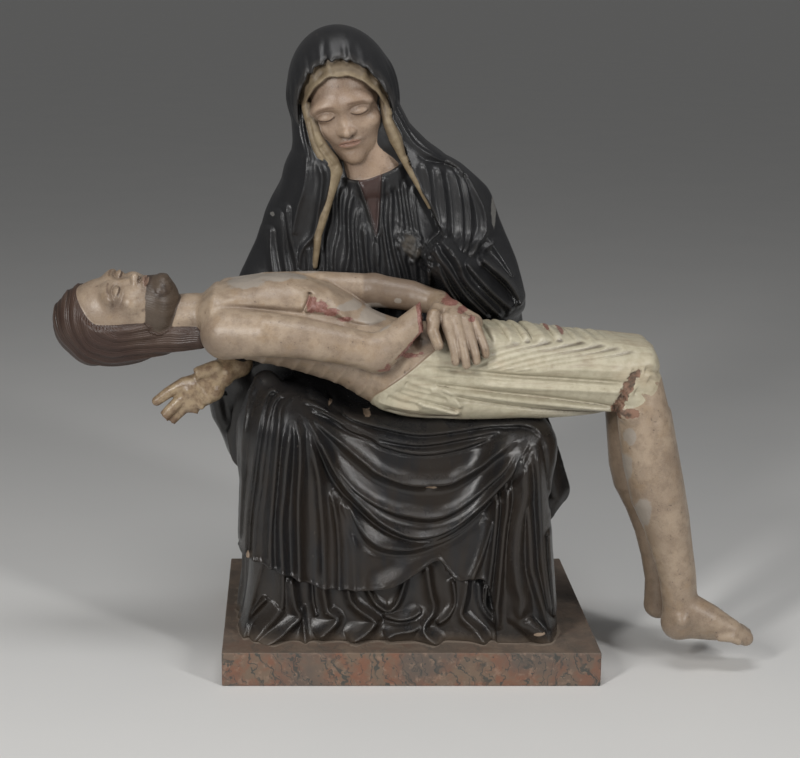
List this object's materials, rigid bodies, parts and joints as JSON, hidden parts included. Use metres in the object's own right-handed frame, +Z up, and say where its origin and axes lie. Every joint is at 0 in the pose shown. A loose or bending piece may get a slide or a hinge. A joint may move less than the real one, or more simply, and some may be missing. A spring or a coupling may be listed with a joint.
{
  "type": "pieta statue",
  "caption": "Painted stone pieta: a seated mourning woman in a long dark mantle holds a dead man across her lap, on a slab of veined marble.",
  "frame": {"origin": "middle of the slab's underside", "axes": "+Z up, +X towards the man's feet, the viewer stands on the -Y side"},
  "size_m": [1.1608, 0.465, 1.0543],
  "materials": {
    "painted_stone": "old glossy paint, near-black on the mantle, tan on the flesh, pale on the loincloth, worn and chipped",
    "marble": "salmon breccia marble with dark veins, honed, edges worn"
  },
  "bodies": {
    "root": {"pieta_group": "painted_stone", "marble_plinth": "marble"}
  },
  "joints": []
}
